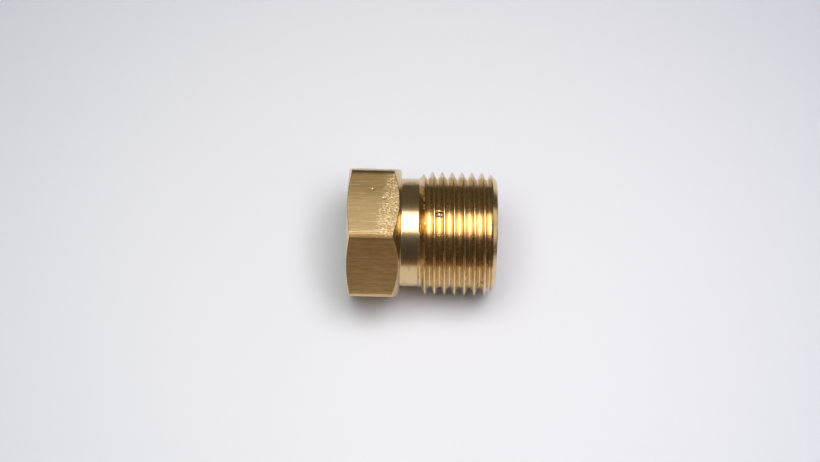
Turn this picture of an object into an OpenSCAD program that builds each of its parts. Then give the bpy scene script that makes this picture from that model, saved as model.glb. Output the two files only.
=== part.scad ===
// Hexagon-headed brass bushing, threaded outside (G 3/8) and tapped inside (G 1/4).
// It is turned from one length of drawn hexagon bar. Sizes are millimetres.
//
// The bushing lies along X on one flat of its hexagon: the thread points to +X,
// +Z is up, and the origin is on the axis in the plane of the shoulder,
// where the hexagon ends and the neck begins.

/* [Hexagon] */
// Size across the flats
hex_af = 17; // [14:0.5:24]
// Length of the hexagon along the axis
hex_len = 7.1; // [4:0.1:14]
// Radius of the bar's drawn long edges
hex_edge_r = 1; // [0.3:0.1:2]
// How far inside the flats the shoulder's chamfer circle lies
shoulder_inset = 0.25; // [0.1:0.05:1]
// Angle of the shoulder's chamfer, from the face
shoulder_chamfer = 34; // [10:1:45]
// How far inside the flats the open end's chamfer circle lies
mouth_end_inset = 0.1; // [0.05:0.05:1]
// Angle of the open end's chamfer, from the face
mouth_end_chamfer = 20; // [10:1:45]

/* [Neck] */
// Length of the plain neck between the shoulder and the thread
neck_len = 2.4; // [1.8:0.05:6]
// How far the neck lies below the root of the thread
neck_relief = 0.05; // [0.05:0.005:0.4]
// Radius in the corner where the neck meets the shoulder
neck_corner_r = 0.2; // [0.1:0.05:0.5]

/* [Outside thread] */
// Major diameter (G 3/8 is 16.662)
thread_d = 16.662; // [14.5:0.001:20]
// Pitch (19 turns to the inch is 1.337)
pitch = 1.337; // [0.9:0.001:1.7]
// How much deeper than the basic form the groove is cut, which sharpens the crests
extra_depth = 0.08; // [0:0.01:0.1]
// Length from the shoulder to the free end
spigot_len = 12.9; // [8:0.1:25]
// Angle round the axis, from +Y towards +Z, where the groove opens over the neck
thread_start = 127; // [0:1:359]
// Angle of the chamfer where the neck rises to the thread, from the axis
start_chamfer = 50; // [30:1:60]
// Angle of the chamfer at the free end, from the axis
tip_chamfer = 47; // [30:1:60]
// How far the free end's face lies below the root of the thread
tip_drop = 0.1; // [0.1:0.005:0.6]

/* [Bore] */
// Diameter of the bore, which is the inside thread's minor diameter (G 1/4 is 11.445)
bore_d = 11.445; // [8:0.005:13.4]
// Major diameter of the inside thread (G 1/4 is 13.157)
inside_thread_d = 13.157; // [9:0.001:14.5]
// How far the countersink at the hexagon's end clears the inside thread
countersink_clear = 0.15; // [0.05:0.05:0.5]
// Width of the broken edge where the bore leaves the free end
bore_break = 0.4; // [0.1:0.05:1]

/* [Hidden] */
brass = "#c2a36c";

// Whitworth form: 55 degrees between the flanks, and the root rounded between them.
flank = 27.5;
cut_depth = 0.640327*pitch + extra_depth;
root_r = 0.137329*pitch;
root_d = thread_d - 2*cut_depth;

hex_corner_r = hex_af/2/cos(30);
edge_centre = hex_corner_r - hex_edge_r/cos(30);
edge_steps = 6;
shoulder_ring_r = hex_af/2 - shoulder_inset;
mouth_ring_r = hex_af/2 - mouth_end_inset;

neck_r = root_d/2 - neck_relief;
tip_r = root_d/2 - tip_drop;
start_chamfer_len = (thread_d/2 - neck_r)/tan(start_chamfer);
tip_chamfer_len = (thread_d/2 - tip_r)/tan(tip_chamfer);
// The spigot's end inside the hexagon stays within the shoulder's flat ring.
sunk_r = min(neck_r + neck_corner_r, shoulder_ring_r);
sunk_len = 1;

countersink_r = inside_thread_d/2 + countersink_clear;
tip_break = min(bore_break, (tip_r - bore_d/2)/2);

// The groove's cutter starts halfway along the neck and leaves past the free end.
// Above the crests its sides stand straight, so that its turns never meet.
over = 0.3;
root_steps = 2;
turn_steps = 36;
groove_turns = ceil((spigot_len - neck_len/2)/pitch + 0.5);
$fn = 96;

// Half the width of the groove at a height above its root
function groove_half(h) = root_r*cos(flank) + (h - root_r*(1 - sin(flank)))*tan(flank);

// Outline of the groove as [along the axis, above the root]: down one side,
// round the root and up the other
function groove_profile() =
  let (sag = thread_d/2*(1 - cos(180/turn_steps)),
       rim = cut_depth + sag,
       rim_half = min(groove_half(rim), 0.49*pitch),
       top = cut_depth + over)
  concat([[-rim_half, top], [-rim_half, rim]],
         [for (k = [-root_steps:root_steps])
            let (t = (90 - flank)*k/root_steps)
            [root_r*sin(t), root_r*(1 - cos(t))]],
         [[rim_half, rim], [rim_half, top]]);

// The groove's outline carried along a right-handed helix
module thread_groove() {
  outline = groove_profile();
  n = len(outline);
  last = groove_turns*turn_steps;
  points = [for (i = [0:last]) for (p = outline)
              let (a = thread_start + 360*i/turn_steps, r = root_d/2 + p[1])
              [r*cos(a), r*sin(a), neck_len/2 + pitch*i/turn_steps + p[0]]];
  sides = [for (i = [0:last - 1]) for (j = [0:n - 1])
             let (k = (j + 1) % n, here = i*n, next = (i + 1)*n)
             each [[here + j, next + j, next + k], [here + j, next + k, here + k]]];
  first_cap = [for (j = [1:n - 2]) [0, j, j + 1]];
  last_cap = [for (j = [1:n - 2]) [last*n, last*n + j + 1, last*n + j]];
  polyhedron(points = points, faces = concat(sides, first_cap, last_cap));
}

// Section of the drawn bar: a hexagon with rounded corners, standing on a flat
function bar_outline() =
  [for (corner = [0:60:300]) for (k = [0:edge_steps])
     let (t = corner - 30 + 60*k/edge_steps)
     [edge_centre*cos(corner) + hex_edge_r*cos(t),
      edge_centre*sin(corner) + hex_edge_r*sin(t)]];

// Length of bar with a turned chamfer at both ends
module hexagon() {
  reach = hex_corner_r + 1;
  intersection() {
    translate([0, 0, -hex_len]) linear_extrude(hex_len) polygon(bar_outline());
    rotate_extrude()
      polygon([[0, -hex_len],
               [mouth_ring_r, -hex_len],
               [reach, -hex_len + (reach - mouth_ring_r)*tan(mouth_end_chamfer)],
               [reach, -(reach - shoulder_ring_r)*tan(shoulder_chamfer)],
               [shoulder_ring_r, 0],
               [0, 0]]);
  }
}

// Neck and unthreaded spigot, with the small radius in the shoulder's corner
module spigot() {
  foot_r = neck_r + neck_corner_r;
  corner = [for (t = [0:15:90])
              [foot_r - neck_corner_r*sin(t), neck_corner_r*(1 - cos(t))]];
  rotate_extrude()
    polygon(concat([[0, -sunk_len], [sunk_r, -sunk_len]],
                   sunk_r < foot_r ? [[sunk_r, 0]] : [],
                   corner,
                   [[neck_r, neck_len],
                    [thread_d/2, neck_len + start_chamfer_len],
                    [thread_d/2, spigot_len - tip_chamfer_len],
                    [tip_r, spigot_len],
                    [0, spigot_len]]));
}

// Bore right through, countersunk at the hexagon's end and broken at the free end
module bore() {
  r = bore_d/2;
  past = 1;
  rotate_extrude()
    polygon([[0, -hex_len - past],
             [countersink_r + past, -hex_len - past],
             [r, -hex_len + countersink_r - r],
             [r, spigot_len - tip_break],
             [r + tip_break + past, spigot_len + past],
             [0, spigot_len + past]]);
}

module bushing() {
  color(brass) rotate([90, 0, 90]) difference() {
    union() {
      hexagon();
      spigot();
    }
    thread_groove();
    bore();
  }
}

bushing();
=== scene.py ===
import math

import bmesh
import bpy
import numpy as np
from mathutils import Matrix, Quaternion, Vector


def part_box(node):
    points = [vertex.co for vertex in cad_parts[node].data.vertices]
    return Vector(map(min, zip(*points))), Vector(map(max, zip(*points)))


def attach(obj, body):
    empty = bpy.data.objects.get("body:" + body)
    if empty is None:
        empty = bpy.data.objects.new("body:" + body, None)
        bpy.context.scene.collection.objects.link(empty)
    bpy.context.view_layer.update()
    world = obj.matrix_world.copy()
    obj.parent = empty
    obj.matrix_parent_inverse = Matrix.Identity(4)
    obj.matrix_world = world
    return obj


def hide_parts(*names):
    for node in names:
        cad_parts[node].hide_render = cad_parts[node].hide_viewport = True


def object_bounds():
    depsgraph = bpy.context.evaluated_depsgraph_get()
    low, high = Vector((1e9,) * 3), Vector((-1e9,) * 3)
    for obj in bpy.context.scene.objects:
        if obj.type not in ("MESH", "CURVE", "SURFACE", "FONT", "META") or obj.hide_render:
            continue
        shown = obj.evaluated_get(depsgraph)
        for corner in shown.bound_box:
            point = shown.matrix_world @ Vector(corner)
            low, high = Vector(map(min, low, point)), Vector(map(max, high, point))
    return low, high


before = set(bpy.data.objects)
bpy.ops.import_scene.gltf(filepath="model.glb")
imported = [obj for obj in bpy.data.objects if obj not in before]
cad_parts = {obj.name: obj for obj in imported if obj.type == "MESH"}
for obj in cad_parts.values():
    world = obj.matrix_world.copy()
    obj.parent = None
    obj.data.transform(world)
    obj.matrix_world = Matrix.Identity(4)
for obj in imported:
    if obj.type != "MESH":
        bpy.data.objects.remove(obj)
cadLow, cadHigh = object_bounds()
boxLow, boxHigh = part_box("bushing")
mm = 0.001

# The bushing's sizes, in millimetres and degrees. The axis is X, x = 0 is the shoulder, the thread
# points to +X, and angles turn from +Y towards +Z.
bushing = {
    "acrossFlats": 2 * boxHigh.z / mm,
    "hexLen": -boxLow.x / mm,
    "spigotLen": boxHigh.x / mm,
    "hexEdgeR": 1.0,           # rounding of the drawn bar's long edges
    "shoulderRing": 8.25,      # radius where the shoulder's chamfer starts
    "shoulderChamfer": 34,     # from the face
    "mouthRing": 8.4,          # the same at the open end
    "mouthChamfer": 20,
    "neckLen": 2.4,
    "neckRelief": 0.05,        # how far the neck lies below the thread's root
    "neckCorner": 0.2,         # radius in the corner under the shoulder
    "threadR": 8.331,
    "pitch": 1.337,
    "extraDepth": 0.08,        # how much deeper than the basic form the groove is cut
    "threadStart": 127,        # where the groove opens over the neck
    "startChamfer": 50,        # from the axis, where the neck rises to the thread
    "tipDrop": 0.1,            # how far the free end lies below the thread's root
    "tipChamfer": 47,          # from the axis, at the free end
    "boreR": 5.7225,           # crests of the inside thread
    "boreBreak": 0.4,          # broken edge at the free end
    "insideR": 6.5785,         # root of the inside thread
    "sinkR": 6.7285,           # countersink at the open end
    "insideRoot": 0.15,        # rows of the inside thread, from its groove's middle
    "insideCrest": 0.557,
    "crestRound": 0.06,        # radius on each side of a worn crest
    "edgeSoft": 0.045,         # how far the hexagon's chamfered edges are rubbed round
    "ringSoft": 0.04,          # the same where a chamfer meets a face
    "cornerSteps": 10,         # columns over a hexagon corner
    "flatSteps": 34,           # columns over a flat
    "flatRows": 12,            # rows along the flats
    "neckRows": (1.8, 1.2, 0.5),  # x of the rows along the neck
    "cornerRows": 6,           # rows over the neck's corner radius
    "rootRows": 4,             # over half of the outside thread's root arc
    "sideRows": 2,             # along its flank
    "crestRows": 3,            # over the arc at its crest's shoulder
    "edgeRow": 0.03,           # distance from an edge to the row beside it
}

sideAngle = math.radians(60)   # the turn that one side of the hexagon takes up
flank = math.radians(27.5)     # half the angle between the thread's flanks
rootShare = 0.137329           # root radius of the thread's form, over the pitch
depthShare = 0.640327          # and its basic depth, over the pitch
leastGap = 1e-4                # millimetres between a helix row's start and the end that it meets
mergeGap = 2e-6                # metres within which points become one
thinGap = 5e-7                 # metres below which an edge is dropped
softRows = 5                   # rows that take a rubbed corner's place
sharpAngle = math.radians(36)
threadSlot = 0                 # the finishes' places on the piece
turnedSlot = 1
drawnSlot = 2


# the tangent of an angle in degrees
def slope(degrees):
    return math.tan(math.radians(degrees))


# basic depth of the form + the extra depth
def grooveDepth(p):
    return depthShare * p["pitch"] + p["extraDepth"]


# thread radius - groove depth - relief
def neckRadius(p):
    return p["threadR"] - grooveDepth(p) - p["neckRelief"]


# thread radius - groove depth - drop
def tipRadius(p):
    return p["threadR"] - grooveDepth(p) - p["tipDrop"]


# Distance from the axis to a corner arc's centre: (half the size across flats - arc radius) / cos 30.
def arcCentre(p):
    return (p["acrossFlats"] / 2 - p["hexEdgeR"]) / math.cos(sideAngle / 2)


# Angles of the columns: even steps over each rounded corner, then even steps over the flat beside it.
def columnAngles(p):
    turn = np.linspace(-sideAngle / 2, sideAngle / 2, p["cornerSteps"] + 1)
    over = np.arctan2(p["hexEdgeR"] * np.sin(turn), arcCentre(p) + p["hexEdgeR"] * np.cos(turn))
    flat = np.linspace(over[-1], over[0] + sideAngle, p["flatSteps"] + 1)[1:-1]
    sector = np.concatenate([over, flat])
    return np.concatenate([sector + sideAngle * k for k in range(6)])


# Radius of the bar at an angle. On a flat it is half the size across flats / cos(angle from the
# flat's middle), on a corner centre * cos + root(arc radius squared - (centre * sin) squared).
def barRadius(a, p):
    edgeR = p["hexEdgeR"]
    centre = arcCentre(p)
    reach = math.atan2(edgeR * math.sin(sideAngle / 2), centre + edgeR * math.cos(sideAngle / 2))
    fromCorner = np.abs((a + sideAngle / 2) % sideAngle - sideAngle / 2)
    flat = p["acrossFlats"] / 2 / np.cos(sideAngle / 2 - fromCorner)
    inArc = np.minimum(fromCorner, reach)
    arc = centre * np.cos(inArc) + np.sqrt(edgeR ** 2 - (centre * np.sin(inArc)) ** 2)
    return np.where(fromCorner > reach, flat, arc)


# Distances from a groove's middle to the end of its root arc and to where the crest is level:
# root radius * cos(flank), and the sharp corner + crest radius * (1 - sin) / cos.
def formBends(depth, p):
    rootR = rootShare * p["pitch"]
    rootEnd = rootR * math.cos(flank)
    sharp = rootEnd + (depth - rootR * (1 - math.sin(flank))) * math.tan(flank)
    return rootEnd, sharp + p["crestRound"] * (1 - math.sin(flank)) / math.cos(flank)


# Height of the thread's form above its root, by distance from the groove's middle: a root arc,
# a straight flank that rises by distance / tan(flank), an arc at the crest's shoulder, then level.
def threadHeight(distance, depth, p):
    rootR = rootShare * p["pitch"]
    crestR = p["crestRound"]
    rootEnd, level = formBends(depth, p)
    d = np.abs(distance)
    root = rootR - np.sqrt(np.maximum(rootR ** 2 - d ** 2, 0))
    side = rootR * (1 - math.sin(flank)) + (d - rootEnd) / math.tan(flank)
    crest = depth - crestR + np.sqrt(np.maximum(crestR ** 2 - np.maximum(level - d, 0) ** 2, 0))
    height = np.where(d < rootEnd, root, side)
    return np.where(d > level - crestR * math.cos(flank), crest, height)


# Distance along the axis from the nearest groove's middle, for a right-handed helix:
# the turns counted along the axis less those counted round it, less their nearest whole number.
def fromGroove(x, a, p):
    turns = (x - p["neckLen"] / 2) / p["pitch"] - (a - math.radians(p["threadStart"])) / (2 * math.pi)
    return (turns - np.round(turns)) * p["pitch"]


# Half of a pitch's row offsets, and their mirror image over the other half.
def wholePitch(half, p):
    return np.concatenate([half, p["pitch"] - half[-2:0:-1]])


# Offsets of the outside thread's rows from a groove's middle, closest where the form bends:
# root radius * sin over the root arc, and level - crest radius * sin over the crest's.
def outsideOffsets(p):
    rootEnd, level = formBends(grooveDepth(p), p)
    lean = math.pi / 2 - flank
    root = rootShare * p["pitch"] * np.sin(np.linspace(0, lean, p["rootRows"]))
    crest = level - p["crestRound"] * np.sin(np.linspace(lean, 0, p["crestRows"]))
    side = np.linspace(root[-1], crest[0], p["sideRows"] + 2)[1:-1]
    return wholePitch(np.concatenate([root, side, crest, [p["pitch"] / 2]]), p)


# Rows that follow the helix between two ends: x = start + pitch * turn, held between the ends.
# The second result is the row that each row meets after one whole turn.
def helixRows(low, high, offsets, a, p):
    pitch = p["pitch"]
    phase = p["neckLen"] / 2 + pitch * (a[0] - math.radians(p["threadStart"])) / (2 * math.pi)
    turn = (a - a[0]) / (2 * math.pi)
    k = np.arange(math.floor((low - phase) / pitch) - 2, math.ceil((high - phase) / pitch) + 1)
    start = (phase + pitch * k[:, None] + offsets).ravel()
    start = start[(start > low - pitch + leastGap) & (start < high - leastGap)]
    start = np.concatenate([[low - pitch], start, [high]])
    onward = np.minimum(np.arange(len(start)) + len(offsets), len(start) - 1)
    onward[0] = 0
    return np.clip(start[:, None] + pitch * turn, low, high), onward


# A profile's points as rows of x and r, which may each be one number or one for every column.
def profile(points, a):
    return np.array([[np.broadcast_to(value, len(a)) for value in point] for point in points])


# A stretch of the net: its rows, the row that each meets one turn on, and its slots.
def stretch(rows, slot):
    return rows, np.arange(len(rows)), np.full(len(rows), slot)


# The bore from the open end to the free end: root radius - the form's height, and at least the
# cones of the countersink and the broken edge, whose radius changes as fast as x.
def boreRows(a, p):
    half = np.array([0, p["insideRoot"], p["insideCrest"], p["pitch"] / 2])
    x, onward = helixRows(-p["hexLen"], p["spigotLen"], wholePitch(half, p), a, p)
    r = p["insideR"] - threadHeight(fromGroove(x, a, p), depthShare * p["pitch"], p)
    r = np.maximum(r, p["sinkR"] - (x + p["hexLen"]))
    r = np.maximum(r, p["boreR"] + p["boreBreak"] - (p["spigotLen"] - x))
    return np.stack([x, r], 1), onward, np.full(len(x), threadSlot)


# The free end's face, from the bore's rim to the thread's chamfer.
def freeEndRows(rim, a, p):
    end = p["spigotLen"]
    inner = np.maximum(rim, p["boreR"] + p["boreBreak"]) + p["edgeRow"]
    return stretch(profile([(end, inner), (end, tipRadius(p) - p["edgeRow"])], a), turnedSlot)


# The outside thread from the free end back to the neck: root radius + the form's height, and at
# most the cones of the two chamfers.
def outsideRows(a, p):
    depth = grooveDepth(p)
    x, onward = helixRows(p["neckLen"], p["spigotLen"] - p["edgeRow"], outsideOffsets(p), a, p)
    r = p["threadR"] - depth + threadHeight(fromGroove(x, a, p), depth, p)
    r = np.minimum(r, neckRadius(p) + (x - p["neckLen"]) * slope(p["startChamfer"]))
    r = np.minimum(r, tipRadius(p) + (p["spigotLen"] - x) * slope(p["tipChamfer"]))
    return np.stack([x, r], 1)[::-1], len(x) - 1 - onward[::-1], np.full(len(x), threadSlot)


# The neck, and the arc in its corner: x = radius * (1 - sin), r = neck + radius * (1 - cos).
def neckRows(a, p):
    neckR = neckRadius(p)
    cornerR = p["neckCorner"]
    places = [p["neckLen"] - p["edgeRow"], *p["neckRows"], cornerR + p["edgeRow"]]
    corner = [(cornerR * (1 - math.sin(t)), neckR + cornerR * (1 - math.cos(t)))
              for t in np.linspace(0, math.pi / 2, p["cornerRows"])]
    return stretch(profile([(x, neckR) for x in places] + corner, a), turnedSlot)


# A profile with its corners rubbed round: each is replaced by five rows, one on each side and three
# on the curve corner + width * ((1 - t) squared * back + t squared * on), for t = 0, a half and 1.
def softProfile(points, widths, support):
    mostWidth = 0.3            # of the shorter side
    mostSupport = 0.8          # of the width
    rows = [points[0]]
    for k in range(1, len(points) - 1):
        before, here, after = points[k - 1:k + 2]
        backLen = np.hypot(*(before - here))
        onLen = np.hypot(*(after - here))
        back = (before - here) / backLen
        on = (after - here) / onLen
        width = np.minimum(widths[k], mostWidth * np.minimum(backLen, onLen))
        lead = width + np.minimum(support, mostSupport * width)
        curve = [here + width * ((1 - t) ** 2 * back + t ** 2 * on) for t in (0, 0.5, 1)]
        rows += [here + lead * back, *curve, here + lead * on]
    return np.array(rows + [points[-1]])


# The hexagon from the shoulder's corner to the open end. Where a cone of a chamfer meets the bar,
# x is the ring's place + (bar radius - ring radius) * the chamfer's slope.
def hexagonRows(a, p):
    bar = barRadius(a, p)
    ring = p["shoulderRing"]
    mouth = p["mouthRing"]
    openEnd = -p["hexLen"]
    sharp = profile([
        (0, neckRadius(p) + p["neckCorner"] + p["edgeRow"]),
        (0, ring),
        (-(bar - ring) * slope(p["shoulderChamfer"]), bar),
        (openEnd + (bar - mouth) * slope(p["mouthChamfer"]), bar),
        (openEnd, mouth),
        (openEnd, p["sinkR"] + p["edgeRow"]),
    ], a)
    widths = [0, p["ringSoft"], p["edgeSoft"], p["edgeSoft"], p["ringSoft"], 0]
    soft = softProfile(sharp, widths, p["edgeRow"])
    last = 2 * softRows  # the last row of the second corner, where the flats begin
    t = np.linspace(0, 1, p["flatRows"] + 2)[1:-1, None, None]
    level = (1 - t) * soft[last] + t * soft[last + 1]
    rows, onward, slots = stretch(np.concatenate([soft[:last + 1], level, soft[last + 1:]]), turnedSlot)
    slots[last - 1:last + len(level) + 2] = drawnSlot
    return rows, onward, slots


# Faces between each row and the next, and from the last column to the rows one turn on.
# A helix row that ends on a rim closes with a triangle.
def netFaces(onward, slots, columns):
    row = np.arange(len(onward)) * columns
    after = np.roll(row, -1)
    here = row[:, None] + np.arange(columns - 1)
    beside = after[:, None] + np.arange(columns - 1)
    quads = np.stack([here, here + 1, beside + 1, beside], 2)
    onRow = onward * columns
    seam = np.stack([row + columns - 1, onRow, np.roll(onRow, -1), after + columns - 1], 1)
    pinched = seam[:, 1] == seam[:, 2]
    faces = quads.reshape(-1, 4).tolist() + seam[~pinched].tolist() + seam[pinched][:, [0, 1, 3]].tolist()
    return faces, np.concatenate([np.repeat(slots, columns - 1), slots[~pinched], slots[pinched]])


# Merges the points that meet on the rims, turns the faces outwards and counts what is open.
def cleanNet(mesh):
    net = bmesh.new()
    net.from_mesh(mesh)
    bmesh.ops.remove_doubles(net, verts=net.verts, dist=mergeGap)
    bmesh.ops.dissolve_degenerate(net, edges=net.edges, dist=thinGap)
    bmesh.ops.recalc_face_normals(net, faces=net.faces)
    if net.calc_volume(signed=True) < 0:
        bmesh.ops.reverse_faces(net, faces=net.faces)
    loose = sum(len(edge.link_faces) != 2 for edge in net.edges)
    triangles = sum(len(face.verts) - 2 for face in net.faces)
    volume = net.calc_volume(signed=True) / mm ** 3
    print("net made:", triangles, "triangles,", loose, "open edges,", round(volume, 1), "cubic millimetres")
    for face in net.faces:
        face.smooth = True
    net.to_mesh(mesh)
    net.free()
    mesh.set_sharp_from_angle(angle=sharpAngle)


# The whole bushing as one closed net: out along the bore, over the free end, back along the outside
# thread and the neck, and over the hexagon to the open end. Each row is carried round the axis,
# so that a point is (x, r cos a, r sin a), and r is worked out for every angle.
def bushingPiece(name, p):
    a = columnAngles(p)
    bore = boreRows(a, p)
    rim = bore[0][-1, 1]
    parts = [bore, freeEndRows(rim, a, p), outsideRows(a, p), neckRows(a, p), hexagonRows(a, p)]
    starts = np.cumsum([0] + [len(part[0]) for part in parts])
    x, r = np.concatenate([part[0] for part in parts]).transpose(1, 0, 2)
    onward = np.concatenate([start + part[1] for start, part in zip(starts, parts)])
    slots = np.concatenate([part[2] for part in parts])
    points = np.stack([x, r * np.cos(a), r * np.sin(a)], 2).reshape(-1, 3) * mm
    faces, slots = netFaces(onward, slots, len(a))
    mesh = bpy.data.meshes.new(name)
    mesh.from_pydata(points.tolist(), [], faces)
    mesh.polygons.foreach_set("material_index", slots.astype(np.int32))
    cleanNet(mesh)
    thing = bpy.data.objects.new(name, mesh)
    bpy.context.scene.collection.objects.link(thing)
    return thing


# Makes any node from its type, its settings and the values or links of its sockets.
def addNode(tree, kind, settings=None, sockets=None):
    node = tree.nodes.new(kind)
    for key, value in (settings or {}).items():
        setattr(node, key, value)
    for key, value in (sockets or {}).items():
        socket = node.inputs[key]
        if isinstance(value, Value):
            value = value.socket
        if isinstance(value, bpy.types.NodeSocket):
            tree.links.new(value, socket)
        elif socket.type == "RGBA":
            socket.default_value = (*value, 1)
        else:
            socket.default_value = value
    return node


# A shader value that can be used in sums: each operator adds one Math node.
class Value:
    def __init__(self, tree, socket):
        self.tree = tree
        self.socket = socket

    def maths(self, operation, *others):
        sockets = dict(enumerate((self, *others)))
        node = addNode(self.tree, "ShaderNodeMath", {"operation": operation}, sockets)
        return Value(self.tree, node.outputs[0])

    def __add__(self, other):
        return self.maths("ADD", other)

    def __sub__(self, other):
        return self.maths("SUBTRACT", other)

    def __rsub__(self, other):
        return self * -1 + other

    def __mul__(self, other):
        return self.maths("MULTIPLY", other)

    def __pow__(self, other):
        return self.maths("POWER", other)

    __radd__ = __add__
    __rmul__ = __mul__

    def least(self, other):
        return self.maths("MINIMUM", other)

    def most(self, other):
        return self.maths("MAXIMUM", other)

    def root(self):
        return self.maths("SQRT")

    def size(self):
        return self.maths("ABSOLUTE")

    # 0 below the first edge and 1 above the second, smooth between
    def step(self, low, high):
        sockets = {"Value": self, "From Min": low, "From Max": high}
        node = addNode(self.tree, "ShaderNodeMapRange", {"interpolation_type": "SMOOTHSTEP"}, sockets)
        return Value(self.tree, node.outputs["Result"])


# A material or a world as a tree of nodes, with the place on the object in millimetres.
class Finish:
    def __init__(self, block, coordinates="Object", scale=1 / mm):
        self.block = block
        block.use_nodes = True
        self.tree = block.node_tree
        self.tree.nodes.clear()
        place = self.add("ShaderNodeTexCoord").outputs[coordinates]
        split = self.add("ShaderNodeSeparateXYZ", sockets={"Vector": place})
        self.x, self.y, self.z = (Value(self.tree, split.outputs[k]) * scale for k in "XYZ")

    def add(self, kind, settings=None, sockets=None):
        return addNode(self.tree, kind, settings, sockets)

    def point(self, x, y, z):
        return self.add("ShaderNodeCombineXYZ", sockets={"X": x, "Y": y, "Z": z}).outputs[0]

    # soft noise from 0 to 1 at a point given in noise cells
    def noise(self, point, detail, rough=0.5):
        sockets = {"Vector": point, "Scale": 1.0, "Detail": detail, "Roughness": rough}
        return Value(self.tree, self.add("ShaderNodeTexNoise", sockets=sockets).outputs["Fac"])

    # noise with so many cells to a millimetre along the axis and across it
    def grain(self, along, across, detail, rough):
        return self.noise(self.point(self.x * along, self.y * across, self.z * across), detail, rough)

    def radius(self):
        return (self.y * self.y + self.z * self.z).root()

    def mix(self, mask, first, second):
        return self.add("ShaderNodeMix", {"data_type": "RGBA"}, {0: mask, 6: first, 7: second}).outputs[2]

    # depth in millimetres for a height of 1
    def bump(self, height, depth):
        sockets = {"Height": height, "Strength": 1.0, "Distance": depth * mm}
        return self.add("ShaderNodeBump", sockets=sockets).outputs[0]

    # puts a shader on the surface and gives back the material or world
    def surface(self, kind, sockets, output="ShaderNodeOutputMaterial"):
        shader = self.add(kind, sockets=sockets)
        self.add(output, sockets={"Surface": shader.outputs[0]})
        return self.block

    def brass(self, colour, roughness, normal):
        return self.surface("ShaderNodeBsdfPrincipled", {
            "Base Color": colour,
            "Roughness": roughness,
            "Metallic": 1.0,
            "Normal": normal,
        })


# A finish for a new material
def newFinish(name):
    return Finish(bpy.data.materials.new(name))


# 1 at the middle of a small mark and 0 beyond its radius, measured along the axis and round it.
# The distance from the axis counts for less, so that a mark also covers slopes.
def spot(m, x, y, z, radius):
    core = 0.35 * radius
    steepWeight = 0.15
    far = math.hypot(y, z)
    around = m.y * (z / far) - m.z * (y / far)
    outward = m.y * (y / far) + m.z * (z / far) - far
    away = ((m.x - x) ** 2 + around ** 2 + steepWeight * outward ** 2).root()
    return 1 - away.step(core, radius)


# The masks of several marks together
def spots(m, places):
    mask = 0
    for place in places:
        mask = mask + spot(m, *place)
    return mask.least(1)


# 1 along a line from x to x at one height of another coordinate, fading at its sides and ends
def lineMask(m, across, line):
    at, half, start, end = line
    startFade = 0.3
    endFade = 0.4
    begun = m.x.step(start - startFade, start + startFade)
    ended = m.x.step(end - endFade, end + endFade)
    return (1 - (across - at).size().step(0, half)) * begun * (1 - ended)


# Colours that the three finishes share. Tarnish also serves as painted shade on the drawn flats, dirt as
# painted shade round dents, and wear as painted highlights in dents and glints.
tints = {
    "tarnishAndShade": (0.45, 0.295, 0.115),
    "wornAndHighlight": (0.88, 0.73, 0.48),
    "dirtAndShade": (0.16, 0.09, 0.04),
}

# In the finishes a noise is cells to a millimetre along the axis and across it, detail and
# roughness, and a mark is x, y, z and radius. "Edges" are where a mask begins and is full, "Tint"
# is how far it changes the colour, "Rough" how much rougher and "Height" how much higher it makes
# the surface, where a height of 1 is "depth" millimetres.
turned = {
    "colour": (0.68, 0.495, 0.26),
    "rough": 0.17,
    "depth": 0.0006,
    "ringCells": 9,            # across the fine rings
    "ringDetail": 2,
    "tone": (0.5, 0.5, 3, 0.5),
    "toneRough": 0.06,
    "stain": (1.3, 0.6, 4, 0.6),
    "stainEdges": (0.5, 0.72),
    "stainTint": 0.5,
    "stainRough": 0.08,
    "pits": [(1.8, 1.5, 7.19, 0.15), (0.72, -3.64, 6.38, 0.13)],
    "pitTint": 0.7,
    "pitHeight": -4,
}


# Turned surfaces: near mirror, with fine rings that run round the axis, faint stains and two pits.
def turnedBrass(f):
    m = newFinish("turnedBrass")
    rings = m.noise(m.point(m.x * f["ringCells"], m.radius() * f["ringCells"], 0.0), f["ringDetail"])
    tone = m.grain(*f["tone"])
    stain = m.grain(*f["stain"]).step(*f["stainEdges"])
    pits = spots(m, f["pits"])
    colour = m.mix(f["stainTint"] * stain, f["colour"], tints["tarnishAndShade"])
    colour = m.mix(f["pitTint"] * pits, colour, tints["dirtAndShade"])
    rough = f["rough"] + f["toneRough"] * tone + f["stainRough"] * stain
    height = rings + f["pitHeight"] * pits
    return m.brass(colour, rough, m.bump(height, f["depth"]))


cutThread = {
    "colour": (0.715, 0.54, 0.295),
    "rough": 0.165,
    "depth": 0.06,
    "tear": (5, 1.4, 3, 0.5),
    "tearHeight": 0.014,
    "tone": (0.7, 0.7, 3, 0.5),
    "toneEdges": (0.35, 0.7),
    "toneTint": 0.25,
    "toneRough": 0.06,
    "specks": (3.4, 3.4, 2, 0.7),
    "speckEdges": (0.6, 0.7),
    "speckTint": 0.15,
    "speckRough": 0.10,
    "speckHeight": -0.010,
    "pits": [(10.56, -7.56, -0.09, 0.37)],
    "pitTint": 0.9,
    "chips": [                 # small light chips on the crests
        (8.5, -7.93, 1.6, 0.26),
        (8.84, -7.85, 2.3, 0.2),
        (3.05, 1.05, 8.06, 0.2),
        (3.06, 0.72, 8.1, 0.16),
        (3.07, -0.1, 8.15, 0.2),
        (3.08, -0.42, 8.14, 0.14),
    ],
    "chipTint": 0.8,
    "chipRough": 0.35,
    "chipHeight": 0.3,
    # the ding is a dent in the bump, with painted shade in its dark ring and a painted highlight in its
    # bright dimple
    "ding": (5.0, -0.9, 7.4, 0.52),  # a dark ring round a bright dimple
    "ringShadeTint": 0.95,
    "ringHeight": -0.4,
    "dimpleShare": 0.6,        # size of the dimple, over the ding's
    "dimpleHighlightTint": 0.7,
    "dimpleRough": 0.2,
    "dimpleHeight": 0.3,
}
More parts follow.
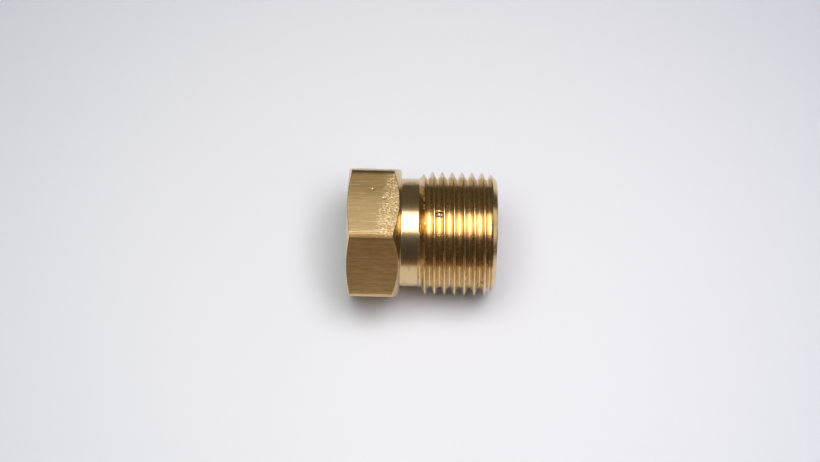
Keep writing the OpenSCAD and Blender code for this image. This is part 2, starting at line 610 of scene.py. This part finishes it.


# Cut thread: bright, a little torn along the flanks and specked, with a pit, a few chips and a ding, whose
# dark ring is painted shade and whose bright dimple a painted highlight.
def threadBrass(f):
    m = newFinish("threadBrass")
    tear = m.grain(*f["tear"])
    tone = m.grain(*f["tone"])
    specks = m.grain(*f["specks"]).step(*f["speckEdges"])
    pits = spots(m, f["pits"])
    chips = spots(m, f["chips"])
    x, y, z, radius = f["ding"]
    dimple = spot(m, x, y, z, f["dimpleShare"] * radius)
    ring = (2 * spot(m, x, y, z, radius) * (1 - dimple)).least(1)
    colour = m.mix(f["toneTint"] * tone.step(*f["toneEdges"]), f["colour"], tints["tarnishAndShade"])
    colour = m.mix(f["speckTint"] * specks, colour, tints["dirtAndShade"])
    # the pit, and painted shade in the ding's ring
    colour = m.mix((f["pitTint"] * pits + f["ringShadeTint"] * ring).least(1), colour, tints["dirtAndShade"])
    # the chips, and a painted highlight in the ding's dimple
    colour = m.mix((f["chipTint"] * chips + f["dimpleHighlightTint"] * dimple).least(1), colour, tints["wornAndHighlight"])
    rough = (f["rough"] + f["toneRough"] * tone + f["speckRough"] * specks + f["chipRough"] * chips
             + f["dimpleRough"] * dimple)
    height = (f["tearHeight"] * tear + f["speckHeight"] * specks + f["chipHeight"] * chips
              + f["ringHeight"] * ring + f["dimpleHeight"] * dimple)
    return m.brass(colour, rough, m.bump(height, f["depth"]))


drawnBar = {
    "colour": (0.7519, 0.5356, 0.25235),
    "rough": 0.28,
    "depth": 0.014,
    "topFlat": (8.2, 8.4),         # z where the top flat begins
    "frontFlat": (-6.2, -5),       # y where the front flat ends
    "tone": (0.35, 0.35, 3, 0.5),
    "toneRough": 0.05,
    # streaks along the axis, the mean of a long noise and a fine one
    "long": (0.22, 2.6, 4, 0.66),
    "fine": (0.7, 7, 3, 0.7),
    "dullEdges": (0.47, 0.57),
    "dullTint": 0.6,
    "dullRough": 0.07,
    "brightEdges": (0.38, 0.46),
    "brightTint": 0.4,
    # granular patch beside the shoulder: x where it begins, and how that edge leans and wanders
    "patchEdges": (-2.5, -0.9),
    "patchLean": 0.15,
    "patchWander": 1.6,
    "patchRough": 0.06,
    "patchHeight": 2.8,
    "grain": (4.5, 4.5, 1, 0.6),
    "speckEdges": (0.48, 0.58),
    "speckTint": 0.85,
    "gleamEdges": (0.38, 0.47),
    "gleamTint": 0.7,
    # painted shade on the top flat towards the back and on the front flat, and tarnish in clouds over all
    "backShadeEdges": (-0.6, 2.2),
    "backShadeTint": 0.75,
    "frontShadeTint": 0.3,
    "cloudTint": 0.8,
    "cloudMiddle": 0.45,
    # dull band on the corner between the top and front flats: radius, z, and y where it ends
    "bandRadius": (9.56, 9.60),
    "bandHeight": (8.08, 8.24),
    "bandEnd": (-1, 1),
    "bandTint": 0.75,
    "bandRough": 0.78,             # its whole roughness
    # light lines along the top flat: y, half width, from x, to x
    "topLines": [
        (-4.60, 0.09, -6.9, -1.3),
        (-2.85, 0.08, -6.9, -1.2),
        (-3.5, 0.06, -6.6, -2.6),
        (-4.05, 0.06, -6.4, -2.0),
        (1.34, 0.06, -6.9, -4.7),
        (3.1, 0.04, -6.0, -4.4),
        (-1.7, 0.05, -5.2, -3.3),
        (0.5, 0.04, -4.4, -2.6),
    ],
    # and along the front flat: z, half width, from x, to x
    "frontLines": [(5.5, 0.05, -6.9, -1.0), (3.9, 0.05, -3.4, -1.9), (6.9, 0.04, -5.6, -3.6)],
    "lineTint": 0.7,
    # pits are dents in the bump, painted light as painted highlights, each with a painted shadow in a dark
    # rim shifted to one side
    "pits": [(-3.79, 2.0, 8.5, 0.16), (-2.3, 0.69, 8.5, 0.19), (-5.4, -1.1, 8.5, 0.10)],
    "pitTint": 0.8,
    "pitHeight": -1.2,
    "pitShadowShift": (0.12, -0.18),     # from a pit to its dark rim, in x and y
    "pitShadowTint": 0.75,
}


# Drawn bar: satin, with streaks along the axis, a granular patch beside the shoulder with painted glints,
# tarnish, painted shade towards the top flat's back and on the front flat, and pits with painted highlights
# and painted shadows.
def drawnBrass(f):
    m = newFinish("drawnBrass")
    tone = m.grain(*f["tone"])
    grain = m.grain(*f["grain"])
    streak = 0.5 * m.grain(*f["long"]) + 0.5 * m.grain(*f["fine"])
    top = m.z.step(*f["topFlat"])
    front = 1 - m.y.step(*f["frontFlat"])
    band = m.radius().step(*f["bandRadius"]) * m.z.step(*f["bandHeight"]) * (1 - m.y.step(*f["bandEnd"]))
    edge = m.x - f["patchLean"] * m.y + f["patchWander"] * tone
    patch = edge.step(*f["patchEdges"]) * top
    specks = patch * grain.step(*f["speckEdges"])
    gleams = patch * (1 - grain.step(*f["gleamEdges"]))
    lines = 0
    for line in f["topLines"]:
        lines = lines + lineMask(m, m.y, line) * top
    for line in f["frontLines"]:
        lines = lines + lineMask(m, m.z, line) * front
    # painted shadows: dark rims beside the pits, shifted to one side
    shiftX, shiftY = f["pitShadowShift"]
    pits = spots(m, f["pits"])
    pitShadows = spots(m, [(x + shiftX, y + shiftY, z, radius) for x, y, z, radius in f["pits"]])
    dull = streak.step(*f["dullEdges"]) * (1 - lines.least(1))
    bright = 1 - streak.step(*f["brightEdges"])
    # painted shade: the top flat darker towards the back, the front flat darker
    back = m.y.step(*f["backShadeEdges"]) * top
    shadeAndTarnishMask = (f["backShadeTint"] * back + f["frontShadeTint"] * front + f["bandTint"] * band
           + f["cloudTint"] * (tone - f["cloudMiddle"]))
    # wear from the bright streaks and lines, with painted glints in the patch and painted highlights in the
    # pits
    wornAndHighlight = (f["brightTint"] * bright + f["gleamTint"] * gleams + f["lineTint"] * lines
            + f["pitTint"] * pits)
    colour = m.mix(f["dullTint"] * dull, f["colour"], tints["tarnishAndShade"])
    colour = m.mix(shadeAndTarnishMask.most(0).least(1), colour, tints["tarnishAndShade"])
    colour = m.mix(f["speckTint"] * specks, colour, tints["tarnishAndShade"])
    colour = m.mix(wornAndHighlight.least(1), colour, tints["wornAndHighlight"])
    colour = m.mix(f["pitShadowTint"] * pitShadows, colour, tints["dirtAndShade"])
    rough = f["rough"] + f["toneRough"] * tone + f["dullRough"] * dull + f["patchRough"] * patch
    rough = rough + (f["bandRough"] - rough) * band
    height = streak + f["patchHeight"] * patch * grain + f["pitHeight"] * pits
    return m.brass(colour, rough, m.bump(height, f["depth"]))


piece = bushingPiece("bushingBrass", bushing)
for made in threadBrass(cutThread), turnedBrass(turned), drawnBrass(drawnBar):
    piece.data.materials.append(made)
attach(piece, "root")
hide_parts("bushing")
print("bushing made")

# The floor, lamp, reflections and camera, in metres and degrees
studio = {
    "floorSize": 3.0,
    "floorColour": (0.815, 0.822, 0.848),
    # painted shade: the floor's colour grows darker away from the middle
    "floorFarShade": (0.655, 0.68, 0.735),
    "floorShadeFade": (25, 110),        # millimetres from the middle over which it grows darker
    "floorRough": 0.7,
    "floorShine": 0.2,
    "floorGlow": 0.01,
    "roomFront": (0.074, 0.065, 0.070),
    "roomBack": (0.112, 0.106, 0.096),
    "roomEdges": (-0.3, 0.6),      # where the room goes from front to back, as a direction's y
    "lampHeight": 0.22,
    "lampFront": -0.120,
    "lampBack": 0.087,
    "lampLeft": -0.120,
    "lampRight": 0.115,
    "lampEdge": 0.080,             # width of the soft rim at the lamp's front and back
    "lampSide": 0.040,             # the same at its left and right
    "lampFlare": 0.5,              # how fast its front edge runs forward to the sides
    "lampMiddle": 0.012,           # x where the right side's light begins
    "leftLight": (3.4, 4.05, 3.8),
    "middleLight": (6.1, 6.0, 6.05),
    "rightLight": (12.6, 11.9, 13.0),
    "sheet": (-0.064, 0.046, -0.059, 0.150),  # the white ground that the metal sees: x, x, y, y
    "tableReach": 0.6,
    "tableLift": 0.0002,
    "frontTable": (0.25, 0.13, 0.035),
    "sideTable": (0.085, 0.076, 0.068),
    "stripX": 0.11,
    "stripY": (-0.2, 0.05),
    "stripZ": (-0.0082, 0.005),
    "sideStrip": (1.25, 1.22, 1.20),
    "lens": 74.0,
    "sensor": 36,
    "clip": (0.01, 5),
    "distance": 0.230,
    "elevation": 63.0,
    "turn": 0.0,                   # the camera's place round the object
    "roll": 1.35,
    "aim": (0.00129, 0.00022, 0.0),
}


# A stage object from corners, faces and the materials that its faces take in turn.
def stageObject(name, corners, faces, materials):
    mesh = bpy.data.meshes.new(name)
    mesh.from_pydata(corners, [], faces)
    for material in materials:
        mesh.materials.append(material)
    for face in mesh.polygons:
        face.material_index = min(face.index, len(materials) - 1)
    thing = bpy.data.objects.new(name, mesh)
    bpy.context.scene.collection.objects.link(thing)
    return thing


# The white ground, level with the bushing's lowest point, with painted shade that makes it darker far from
# it.
def studioFloor(s):
    half = s["floorSize"] / 2
    z = cadLow.z
    m = newFinish("floorWhite")
    away = (m.x * m.x + m.y * m.y).root().step(*s["floorShadeFade"])
    white = m.surface("ShaderNodeBsdfPrincipled", {
        "Base Color": m.mix(away, s["floorColour"], s["floorFarShade"]),
        "Roughness": s["floorRough"],
        "Specular IOR Level": s["floorShine"],
        "Emission Color": s["floorColour"],
        "Emission Strength": s["floorGlow"],
    })
    corners = [(-half, -half, z), (half, -half, z), (half, half, z), (-half, half, z)]
    stageObject("floor", corners, [(0, 1, 2, 3)], [white])


# The soft lamp overhead: a level sheet whose light fades at its rim and grows from left to right.
# Its front edge is at front - flare * the distance to the side.
def softLamp(s):
    left = s["lampLeft"]
    right = s["lampRight"]
    front = s["lampFront"]
    back = s["lampBack"]
    flare = s["lampFlare"]
    z = s["lampHeight"]
    m = newFinish("lampLight")
    inX = (m.x - left / mm).least(right / mm - m.x).step(0, s["lampSide"] / mm)
    inY = (m.y + flare * m.x.size() - front / mm).least(back / mm - m.y).step(0, s["lampEdge"] / mm)
    light = m.mix(m.x.step(left / mm, 0), s["leftLight"], s["middleLight"])
    light = m.mix(m.x.step(s["lampMiddle"] / mm, right / mm), light, s["rightLight"])
    glow = m.surface("ShaderNodeEmission", {"Color": light, "Strength": inX * inY})
    corners = [(left, front + flare * left, z), (left, back, z), (0, back, z), (0, front, z),
               (right, back, z), (right, front - flare * right, z)]
    stageObject("softLamp", corners, [(0, 1, 2, 3), (3, 2, 4, 5)], [glow])


# Glowing cards that only reflections see, one colour to a face.
def reflectedCard(name, corners, faces, colours):
    glows = [newFinish(name + str(k)).surface("ShaderNodeEmission", {"Color": colour, "Strength": 1.0})
             for k, colour in enumerate(colours)]
    card = stageObject(name, corners, faces, glows)
    card.visible_camera = False
    card.visible_diffuse = False
    card.visible_shadow = False


# The dark table round the white sheet: in front of it, to its right, to its left and behind it.
def darkTable(s):
    left, right, front, back = s["sheet"]
    far = s["tableReach"]
    z = cadLow.z + s["tableLift"]
    corners = [(-far, -far, z), (far, -far, z), (far, front, z), (-far, front, z),
               (right, front, z), (far, far, z), (right, far, z),
               (-far, far, z), (left, far, z), (left, front, z), (left, back, z), (right, back, z)]
    faces = [(0, 1, 2, 3), (4, 2, 5, 6), (3, 9, 8, 7), (10, 11, 6, 8)]
    reflectedCard("table", corners, faces, [s["frontTable"]] + 3 * [s["sideTable"]])


# A bright upright strip, low on the right.
def brightStrip(s):
    x = s["stripX"]
    front, back = s["stripY"]
    low, high = s["stripZ"]
    corners = [(x, front, low), (x, back, low), (x, back, high), (x, front, high)]
    reflectedCard("sideStrip", corners, [(0, 1, 2, 3)], [s["sideStrip"]])


# The dim room, a little lighter behind than in front.
def dimRoom(s):
    m = Finish(bpy.data.worlds.new("room"), "Generated", 1)
    colour = m.mix(m.y.step(*s["roomEdges"]), s["roomFront"], s["roomBack"])
    sockets = {"Color": colour, "Strength": 1.0}
    bpy.context.scene.world = m.surface("ShaderNodeBackground", sockets, "ShaderNodeOutputWorld")


# The camera looks at the aim from (sin turn cos elevation, -cos turn cos elevation, sin elevation).
def studioCamera(s):
    elevation = math.radians(s["elevation"])
    turn = math.radians(s["turn"])
    level = math.cos(elevation)
    back = Vector((math.sin(turn) * level, -math.cos(turn) * level, math.sin(elevation)))
    data = bpy.data.cameras.new("camera")
    data.lens = s["lens"]
    data.sensor_width = s["sensor"]
    data.clip_start, data.clip_end = s["clip"]
    camera = bpy.data.objects.new("camera", data)
    camera.rotation_mode = "QUATERNION"
    camera.location = Vector(s["aim"]) + back * s["distance"]
    roll = Quaternion((0, 0, 1), math.radians(s["roll"]))
    camera.rotation_quaternion = (-back).to_track_quat("-Z", "Y") @ roll
    bpy.context.scene.collection.objects.link(camera)
    bpy.context.scene.camera = camera


studioFloor(studio)
softLamp(studio)
darkTable(studio)
brightStrip(studio)
dimRoom(studio)
studioCamera(studio)
bpy.context.scene.view_settings.view_transform = "Standard"
print("studio made")
